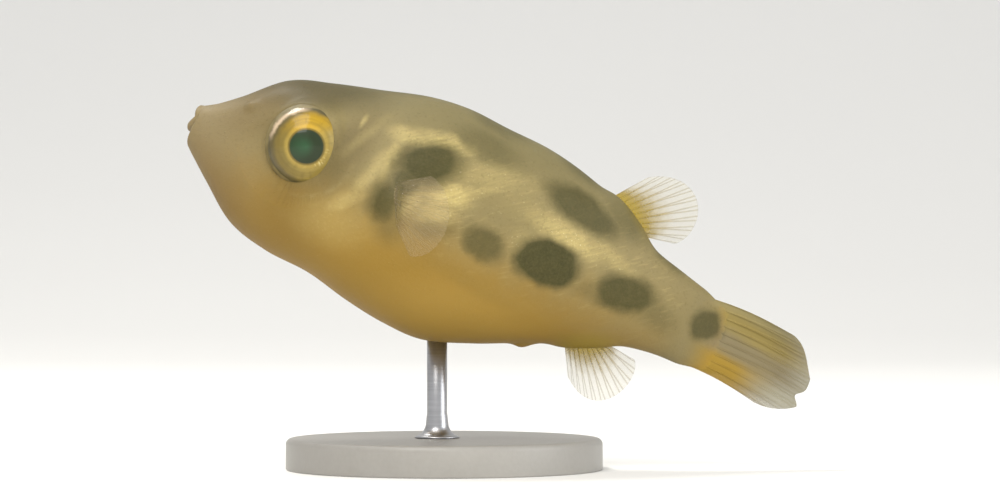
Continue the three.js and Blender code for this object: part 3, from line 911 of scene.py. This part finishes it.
# %% Pores and wetness
dots = skin_finish.noise(straight, 8.0, 2.0, 0.6).ramp(0.54, 0.72) * height.ramp(-2.5, 1.5)
glow = (grain - 0.38).clamp()
ground = layered(ground, (dots * 0.2, 98, 92, 58), (glow * 0.2, 206, 182, 134))
prickles = skin_finish.cells(straight, 4.2).ramp(0.0, 0.15)
skin_finish.wear(
    Base_Color=ground,
    Roughness=0.56 + grain * 0.2 - gold * 0.16,
    Coat_Weight=0.02 + mottle * 0.06,
)
skin_finish.relief((1 - prickles) * 0.5 + grain * 0.3 + mottle * 0.5 + fold * 0.6, 0.03)
skin_finish.onto(skin)

# %% [markdown]
# ## The eyes
#
# A puffer's eye is large and turns on its own. Under a clear, wet cornea lies a golden iris:
# a bright ring round the pupil, olive gold beyond it, and a dark margin whose outer edge is
# painted shade, where the lid meets the ball. Past the margin the ball is the colour of the
# skin. Painted highlights lie on the ring and along the iris's upper front edge. The pupil
# looks blue-green where light comes back out of it.
# A ready-made sphere would give a ball. A grid of rings round the line of sight also lets the
# iris dish in a little and the lens stand in it, each as a function of the ring's radius.

# %% Eyeballs
LENS_RADIUS, LENS_HEIGHT = 0.7, 0.04
IRIS_RADIUS, DISH_DEPTH = 1.5, 0.07


def eyeball(side):
    """A ball as rings round the line of sight, from pole to pole, and each point's place on it.

    A point lies sin(turn) out from the line of sight and cos(turn) along it, in eyeball
    radii. In the posed fish the line points sideways, and a little back and down.
    """
    centre = in_place(EYE_PLACE * (1, side, 1))
    sight = unit(np.array([0.025 + 0.04 * (side > 0), side, -0.06]))
    upward = unit(np.array([0, 0, 1]) - sight * sight[2])
    sideways = np.cross(upward, sight)
    turn = np.linspace(0, math.pi, 97)[:, None]
    round_sight = np.linspace(0, 2 * math.pi, 96, endpoint=False)[None, :]
    out = np.sin(turn) * EYE_SIZE[0]
    deep = np.cos(turn) * EYE_SIZE[1]
    dish = DISH_DEPTH * ramp(IRIS_RADIUS, 1.1, out) * (turn < 1.5)
    lens = LENS_HEIGHT * np.sqrt(np.clip(1 - (out / LENS_RADIUS) ** 2, 0, 1)) * (turn < 1.5)
    plane = joined(out * np.cos(round_sight), out * np.sin(round_sight), deep - dish + lens)
    return centre + plane @ np.array([sideways, upward, sight]), plane * (-side, 1, 1)


# %% The eye's finish
eye_finish = Finish(
    "golden_eye",
    Specular_IOR_Level=0.3,
    Coat_Weight=0.55,
    Coat_Roughness=0.1,
    Coat_IOR=1.34,
)
on_iris = eye_finish.stored("iris_mm")
iris_x, iris_y, depth = eye_finish.parts(on_iris)
from_pupil = (iris_x * iris_x + iris_y * iris_y).math("SQRT")
spokes = eye_finish.noise(
    eye_finish.vector(iris_x / from_pupil * 3, iris_y / from_pupil * 3, from_pupil * 1.2), 2.2, 3.0
)
iris_cloud = eye_finish.noise(on_iris, 2.4, 3.0)
wave = eye_finish.noise(eye_finish.vector(from_pupil * 9, iris_x * 0.6, iris_y * 0.6), 1.0, 3.0)
radius = from_pupil + (iris_cloud - 0.5) * 0.2
upper_glow = (iris_y - iris_x * 0.05).ramp(0.3, 1.15)
iris = layered(
    eye_finish.blend(upper_glow, pigment(190, 166, 86), pigment(206, 166, 40, 0.6)),
    (iris_x.ramp(0.1, -1.1) * 0.6, 128, 110, 52),
    (wave.ramp(0.32, 0.7) * 0.28, 118, 98, 42),
)
ring_glow = abs(from_pupil - 0.82 + (iris_cloud - 0.5) * 0.1).ramp(0.2, 0.0)
ring_tone = eye_finish.blend(upper_glow, pigment(206, 178, 88), pigment(236, 186, 46, 0.7))
ring_share = 0.62 + (spokes - 0.5) * 0.8 + (iris_x * 0.5 + iris_y).ramp(0.5, -0.7) * 0.3
# Painted highlights: pale glints on the lower back side of the ring round the pupil
painted_glints = abs(from_pupil - 0.86).ramp(0.16, 0.02) * spokes.ramp(0.5, 0.66)
painted_glints = painted_glints * (iris_x * 0.8 - iris_y).ramp(0.6, 1.1)
margin = radius + iris_x.ramp(0.3, -1.2) * 0.14 + iris_y.ramp(-0.4, 1.0) * 0.06
iris = layered(
    iris.coated((ring_glow * ring_share).clamp(), ring_tone),
    (spokes.ramp(0.5, 0.75) * 0.22, 104, 88, 40),
    (painted_glints * 0.6, 240, 226, 160, 0.75),
    (margin.ramp(1.32, 1.6), 122, 108, 66),
    (abs(radius - 1.58).ramp(0.12, 0.02) * 0.6, 78, 76, 48),  # dark rim: painted shade in the groove between the ball and the lid
)

# %% Round the iris, and in its middle
skin_cloud = iris_cloud.ramp(0.35, 0.65)
skin_tone = eye_finish.blend(skin_cloud, pigment(138, 124, 78), pigment(164, 148, 100))
# Painted highlight: a pale streak along the upper front edge of the iris, where the cornea's rim
# catches a lamp
painted_gleam = abs(from_pupil - 1.5 + (spokes - 0.5) * 0.16).ramp(0.13, 0.01)
painted_gleam = painted_gleam * (iris_y * 0.8 - iris_x * 0.6).ramp(1.0, 1.42)
iris = layered(
    iris.coated((radius + depth.ramp(1.0, 0.2) * 0.2).ramp(1.6, 1.74), skin_tone),
    (painted_gleam * 0.85, 226, 200, 166, 0.7),
    (from_pupil.ramp(0.8, 0.73) * 0.6, 92, 78, 36),  # edge of the pupil
)
pupil = from_pupil.ramp(0.725, 0.665)
pupil_shade = (from_pupil + iris_x * 0.5).ramp(-0.2, 0.6)
pupil_tone = eye_finish.blend(pupil_shade, pigment(62, 106, 70), pigment(54, 68, 42))
eye_finish.wear(
    Base_Color=iris.coated(pupil, pupil_tone),
    Roughness=0.5 + iris_cloud * 0.2 - pupil * 0.1,
)
eye_finish.relief((wave * 0.5 + iris_cloud * 0.3) * (1 - pupil), 0.02)

# %% Place the eyes
for side, name in ((-1, "left"), (1, "right")):
    points, plane = eyeball(side)
    eye = make_piece("eyeball_" + name, *closed_tube(points[1:-1], points[0, 0], points[-1, 0]))
    store_vector(eye, "iris_mm", closed_tube(plane[1:-1], plane[0, 0], plane[-1, 0])[0])
    eye_finish.onto(eye)
    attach(eye, "root")
    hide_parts("eye_" + name)
    print("eye", name, "at", in_place(EYE_PLACE * (1, side, 1)).round(2))

# %% [markdown]
# ## The fins
#
# Each fin is a fan of jointed rays with a clear web between them. Rays could be rods set in a
# sheet, but one thin closed shell has no seams: a fan-shaped middle surface is offset to both
# sides, further where a ray runs and less on the web, and its root is sunk into the flesh. The
# shader makes the web nearly clear and the rays more solid, and colours the root.


# %% A fan of rays
def ray_distance(u, v, rays, fork):
    """Distance from the nearest ray, in ray spacings; each ray forks beyond v = fork."""
    place = u * (rays - 1)
    off = np.abs(place - np.round(place))
    split = 0.2 * ramp(fork, 1.0, v)
    return np.abs(off - split)


FORK = 0.3  # each ray divides in two beyond this share of its length
MEDIAN_RAYS, PECTORAL_RAYS, TAIL_RAYS = 11, 13, 11
WEB_HALF, RAY_HALF = 0.018, 0.055  # half the web's thickness, and what a ray adds to it


def fan_shell(name, rays, middle_surface, across, ray_columns=14, rows=44, root_half=0.2):
    """A thin closed fan: its middle surface and, to both sides of it, half its thickness.

    u runs from the first ray to the last, and v out along a ray.
    """
    count = (rays - 1) * ray_columns + 1
    u = np.linspace(0, 1, count)[None, :]
    v = np.linspace(0, 1, rows)[:, None]
    centre = middle_surface(u, v)
    ray = bump(ray_distance(u, v, rays, FORK), 0.12)
    half = WEB_HALF + RAY_HALF * ray * (1 - 0.75 * v) * ramp(0.1, 0.4, v)
    half = half + root_half * ramp(0.36, 0.0, v)
    half = half * ramp(1.02, 0.9, v) + 0.006
    shift = half[..., None] * across
    front, back = centre + shift, (centre - shift)[:, ::-1]
    loop = np.concatenate([front, back], 1)
    wide = 2 * count
    i = np.arange(count - 1)
    end = joined(i, i + 1, wide - 2 - i, wide - 1 - i)
    faces = [grid_quads(rows, wide, True), end[:, ::-1], end + (rows - 1) * wide]
    fin = make_piece(name, in_place(loop), np.concatenate(faces).tolist())
    where = joined(u, v, 0)
    store_vector(fin, "fan", np.concatenate([where, where[:, ::-1]], 1))
    store_vector(fin, "straight_mm", loop)
    return fin


# %% Fins in the middle plane
def rounded(full, edge, u):
    """Ray length at u of a rounded fan: edge is the share at the first and last ray."""
    return full * (edge + (1 - edge) * np.maximum(0, np.sin(math.pi * u)) ** 0.8)


def median_fin(name, start, end, first, last, power, longest, edge, sway):
    """A fin in the middle plane, from its root's ends, its rays' angles and length."""

    def middle_surface(u, v):
        angle = np.radians(first + (last - first) * u**power)
        reach = -0.5 + v * (rounded(longest, edge, u) + 0.5)
        ripple = 0.05 * v * np.sin(6.0 * u + 2.0 * v)
        return joined(
            start[0] + (end[0] - start[0]) * u + reach * np.cos(angle),
            sway * v**2 + ripple,
            start[1] + (end[1] - start[1]) * u + reach * np.sin(angle),
        )

    return fan_shell(name, MEDIAN_RAYS, middle_surface, SIDEWAYS)


dorsal = median_fin(
    "dorsal_web", (17.6, 4.26), (19.25, 2.98), first=51, last=9, power=1.6,
    longest=2.82, edge=0.47, sway=0.35,
)
anal = median_fin(
    "anal_web", (17.9, -2.42), (19.55, -1.74), first=-61, last=-7, power=2.3,
    longest=2.48, edge=0.54, sway=0.3,
)

# %% Tail fin
tail_web = fan_shell("tail_web", TAIL_RAYS, tail_surface, SIDEWAYS, 16, rows=60, root_half=0.03)

# %% Pectoral fins
PECTORAL_SPREAD = math.radians(33)


def pectoral_surface(side):
    """A fan held off the flank, from a short upright root behind the gill opening."""
    mound_x, mound_z, mound_height, mound_reach = MOUNDS[2]

    def surface(u, v):
        angle = np.radians(34 - 80 * u)
        reach = v * (rounded(2.55, 0.6, u) + 0.5) - 0.5
        x = 9.2 + 0.55 * u
        z = 1.15 - 1.65 * u
        swell = mound_height * bump(np.hypot(x - mound_x, z - mound_z), mound_reach)
        skin_out = flank_at(x, z) + swell
        ripple = 0.07 * v * np.sin(7 * u + 3 * v)
        return joined(
            x + reach * np.cos(angle) * math.cos(PECTORAL_SPREAD),
            side * (skin_out + 0.02 + reach * math.sin(PECTORAL_SPREAD) + ripple),
            z + reach * np.sin(angle) * math.cos(PECTORAL_SPREAD),
        )

    return surface


def pectoral_fin(name, side):
    """One pectoral fin; its thickness runs square to the fan."""
    across = np.array([-side * math.sin(PECTORAL_SPREAD), math.cos(PECTORAL_SPREAD), 0])
    return fan_shell(name, PECTORAL_RAYS, pectoral_surface(side), across, 12, root_half=0.05)


left_web = pectoral_fin("pectoral_web_left", -1)
right_web = pectoral_fin("pectoral_web_right", 1)

# %% The fins' finish
def ray_mask(u, v, rays, fork, wide):
    """1 along each ray and 0 on the web; the same rays as the shell's, forked and tapering."""
    off = abs((u * (rays - 1) + 0.5).math("FRACT") - 0.5)
    near = abs(off - v.ramp(fork, 1.0) * 0.2)
    return (near / (wide - v * wide * 0.45)).ramp(1.5, 0.4)


def fin_finish(name, rays, root, ray, web, clear, solid, root_reach):
    """A clear web with more solid rays and a coloured root; clear and solid are opacities."""
    finish = Finish(name, Specular_IOR_Level=0.3, Coat_Weight=0.08)
    u, v, _ = finish.parts(finish.stored("fan"))
    rays_mask = ray_mask(u, v, rays, FORK, 0.11)
    joints = abs((v * 26 + u * 3).math("FRACT") - 0.5).ramp(0.42, 0.48)
    tone = finish.noise(finish.vector(u * 3, v * 2, 0.0), 3.0, 3.0)
    out = v + (tone - 0.5) * 0.2
    root_mask = out.ramp(root_reach, 0.1)
    root_tone = (out - rays_mask * 0.16).ramp(root_reach * 1.35, 0.25)
    colour = finish.blend(rays_mask, web, ray).coated(root_tone, root)
    colour = colour.coated(joints * rays_mask * 0.35, rgb(250, 246, 228))
    alpha = clear + rays_mask * (solid - clear) * (1 - v * 0.35)
    alpha = alpha + root_mask * (1 - clear) * 0.85
    finish.wear(Base_Color=colour, Alpha=alpha.clamp(), Roughness=0.4 + tone * 0.2)
    finish.relief(rays_mask, 0.02)
    return finish

# %% Looks of the clear fins
median_look = fin_finish(
    "clear_fin", MEDIAN_RAYS,
    root=pigment(186, 160, 64, 0.6), ray=pigment(190, 176, 126, 0.7), web=rgb(182, 178, 158),
    clear=0.17, solid=0.4, root_reach=0.68,
)
pectoral_look = fin_finish(
    "glassy_fin", PECTORAL_RAYS,
    root=pigment(164, 146, 104), ray=pigment(198, 176, 134, 0.6), web=pigment(206, 182, 150, 0.7),
    clear=0.07, solid=0.2, root_reach=0.22,
)
for fin, node, look in (
    (dorsal, "dorsal_fin", median_look),
    (anal, "anal_fin", median_look),
    (left_web, "pectoral_fin_left", pectoral_look),
    (right_web, "pectoral_fin_right", pectoral_look),
):
    look.onto(fin)
    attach(fin, "root")
    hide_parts(node)

# %% The tail fin's finish
tail_look = Finish("tail_fin", Specular_IOR_Level=0.3, Coat_Weight=0.08)
u, v, _ = tail_look.parts(tail_look.stored("fan"))
on_tail = tail_look.stored("straight_mm")
tail_along, _, tail_above = tail_look.parts(on_tail)
tail_rays = ray_mask(u, v, TAIL_RAYS, FORK, 0.12)
tone = tail_look.noise(tail_look.vector(u * 3, v * 2, 0.0), 2.6, 3.0)
streaks = tail_rays * tail_along.ramp(23.4, 24.6)
root_spot = ovals(*uneven(tail_look, on_tail)[:2], [TAIL_SPOT])
colour = layered(
    tail_tones(tail_look, tail_along, tail_above),
    (streaks * 0.14, 136, 118, 70),
    (root_spot * 0.9, *BLOTCH),
)
alpha = 1.0 - v.ramp(0.5, 1.0) * 0.3 - u.ramp(0.8, 1.0) * 0.2 + tail_rays * 0.12
tail_look.wear(Base_Color=colour, Alpha=alpha.clamp(), Roughness=0.45 + tone * 0.15)
tail_look.relief(tail_rays * v.ramp(0.12, 0.3), 0.008)
tail_look.onto(tail_web)
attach(tail_web, "root")
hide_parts("tail_fin")

# %% [markdown]
# ## The beak
#
# A puffer has four fused teeth, two above and two below, like a parrot's beak. Only their
# pale edges show between the lips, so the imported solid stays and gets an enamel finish.

# %% Beak
enamel = Finish("enamel", Roughness=0.25, Coat_Weight=0.6)
stain = enamel.noise(enamel.position(), 3000.0)
enamel.wear(Base_Color=enamel.blend(stain, rgb(206, 190, 150), rgb(240, 232, 208)))
enamel.onto(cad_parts["beak"])

# %% [markdown]
# ## The stand
#
# The disc and the rod are turned shapes: a half section carried round an upright axis. Tiny
# rounded edges catch the light, as they do on the turned metal of a real stand. Bevelled
# cylinders would do for the disc, but not for the hollow curve at the rod's foot.

# %% Turned pieces
BASE_RADIUS, BASE_HEIGHT, BASE_ROUNDING = 6.6, 1.3, 0.24
FOOT_RADIUS, FLARE = 0.95, 0.58  # the rod's foot, and the hollow curve up from it
ROD_X, ROD_RADIUS = -0.3, 0.42


def turned(name, section, centre_x, sides=160):
    """Carries a half section of radius and height, from axis to axis, round an upright line."""
    around = np.linspace(0, 2 * math.pi, sides, endpoint=False)
    radius, height = section[1:-1, 0][:, None], section[1:-1, 1][:, None]
    rings = joined(centre_x + radius * np.cos(around), radius * np.sin(around), height)
    bottom, top = (centre_x, 0, section[0, 1]), (centre_x, 0, section[-1, 1])
    return make_piece(name, *closed_tube(rings, bottom, top))


def rounded_corner(centre, radius, first, last, steps):
    """Points of an arc round a centre, between two angles in degrees."""
    turn = np.radians(np.linspace(first, last, steps))
    return joined(centre[0] + radius * np.cos(turn), centre[1] + radius * np.sin(turn))

# %% Base and rod
base_section = np.concatenate([
    [(0, 0), (BASE_RADIUS - 0.12, 0), (BASE_RADIUS - 0.06, 0.0)],
    rounded_corner((BASE_RADIUS - 0.06, 0.06), 0.06, -60, 0, 4),
    rounded_corner(
        (BASE_RADIUS - BASE_ROUNDING, BASE_HEIGHT - BASE_ROUNDING), BASE_ROUNDING, 0, 90, 8
    ),
    [(BASE_RADIUS - BASE_ROUNDING - 0.05, BASE_HEIGHT), (0.9, BASE_HEIGHT), (0, BASE_HEIGHT)],
])
stand_base = turned("base_disc", base_section, 0.0)
low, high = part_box("stand_rod")
rod_low, rod_top = low[2] / MM, high[2] / MM
rod_section = np.concatenate([
    [(0, rod_low), (FOOT_RADIUS - 0.02, rod_low), (FOOT_RADIUS, rod_low + 0.02)],
    rounded_corner((FOOT_RADIUS + 0.1, rod_low + 0.04 + FLARE), FLARE, 250, 182, 9),
    [(ROD_RADIUS + 0.02, rod_low + 0.9), (ROD_RADIUS, rod_low + 1.0)],
    [(ROD_RADIUS, rod_top - 0.02), (0, rod_top)],
])
stand_rod = turned("rod", rod_section, ROD_X, 64)
print("rod from", round(rod_low, 2), "to", round(rod_top, 2), "mm")

# %% The stand's finishes
paint = Finish("satin_paint", Coat_Weight=0.15, Coat_Roughness=0.3)
speckle = paint.noise(paint.position(), 5200.0, 4.0)
cloudy = paint.noise(paint.position(), 420.0, 3.0)
paint.wear(
    Base_Color=paint.blend(cloudy * 0.6 + speckle * 0.4, rgb(128, 125, 119), rgb(150, 147, 141)),
    Roughness=0.34 + speckle * 0.18,
)
paint.relief(speckle, 0.006)
paint.onto(stand_base)

steel = Finish("brushed_steel", Metallic=1.0)
px, py, pz = steel.parts(steel.position())
rings = steel.noise(steel.vector(px * 400, py * 400, pz * 14000), 1.0, 3.0)
steel.wear(
    Base_Color=steel.blend(rings, rgb(168, 168, 170), rgb(208, 208, 210)),
    Roughness=0.24 + rings * 0.2,
)
steel.relief(rings, 0.004)
steel.onto(stand_rod)
for piece, node in ((stand_base, "stand_base"), (stand_rod, "stand_rod")):
    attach(piece, "root")
    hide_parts(node)

# %% [markdown]
# ## Floor and light
#
# A plain pale floor runs up into a pale wall in one sweep, which is staged: it isn't part of
# the object. Four soft panels light the fish, as in a product studio: one above and behind it,
# one above and in front, a large low one in front that lifts the belly, and a weak cool one
# from the tail side. A pale surround fills the rest.


# %% Floor sweep
FLOOR_HALF, FLOOR_FRONT, FLOOR_BACK = 1400, -900, 150
SWEEP_RADIUS, WALL_TOP = 250, 1200


def sweep():
    """A floor that turns up into a wall behind, as a grid of profile by width."""
    across = np.linspace(-FLOOR_HALF, FLOOR_HALF, 29)
    turn = np.radians(np.linspace(0, 90, 15))[1:]
    flat_y = np.linspace(FLOOR_FRONT, FLOOR_BACK, 12)
    curve_y = FLOOR_BACK + SWEEP_RADIUS * np.sin(turn)
    curve_z = SWEEP_RADIUS * (1 - np.cos(turn))
    wall_z = np.linspace(SWEEP_RADIUS + 80, WALL_TOP, 8)
    wall_y = 0 * wall_z + FLOOR_BACK + SWEEP_RADIUS
    profile_y = np.concatenate([flat_y, curve_y, wall_y])[:, None]
    profile_z = np.concatenate([0 * flat_y, curve_z, wall_z])[:, None]
    points = joined(across, profile_y, profile_z)
    faces = grid_quads(len(profile_y), len(across), False)
    return make_piece("floor_sweep", points, faces.tolist(), closed=False)


floor = sweep()
floor_finish = Finish("pale_floor", Roughness=0.6)
soft = floor_finish.noise(floor_finish.position(), 9.0)
floor_finish.wear(Base_Color=floor_finish.blend(soft, rgb(232, 231, 228), rgb(238, 237, 234)))
floor_finish.onto(floor)


# %% Lights
FISH = (2, 0, 10)  # the point that every panel faces


def panel(name, place, size, watts, colour, mirrored=True):
    """A square softbox at place, in mm, facing the fish; mirrored ones show in wet skin."""
    light = bpy.data.lights.new(name, "AREA")
    light.size = size * MM
    light.energy = watts
    light.color = colour
    lamp = bpy.data.objects.new(name, light)
    lamp.location = Vector(place) * MM
    way = (Vector(FISH) - Vector(place)).normalized()
    lamp.rotation_euler = way.to_track_quat("-Z", "Y").to_euler()
    lamp.visible_glossy = mirrored
    bpy.context.scene.collection.objects.link(lamp)
    print(name, "panel", size, "mm wide,", watts, "W")


panel("key", (-70, 70, 190), 70, 0.28, (1.0, 0.98, 0.94))
panel("front", (-50, -130, 190), 110, 0.26, (1.0, 0.97, 0.92))
panel("low", (30, -220, 25), 170, 0.55, (1.0, 0.98, 0.94), mirrored=False)
panel("fill", (190, -60, 60), 120, 0.14, (0.94, 0.97, 1.0))
world = bpy.data.worlds.new("studio")
world.use_nodes = True
world.node_tree.nodes["Background"].inputs["Color"].default_value = (0.97, 0.98, 1.0, 1)
world.node_tree.nodes["Background"].inputs["Strength"].default_value = 0.64
bpy.context.scene.world = world
bpy.context.scene.view_settings.view_transform = "Standard"
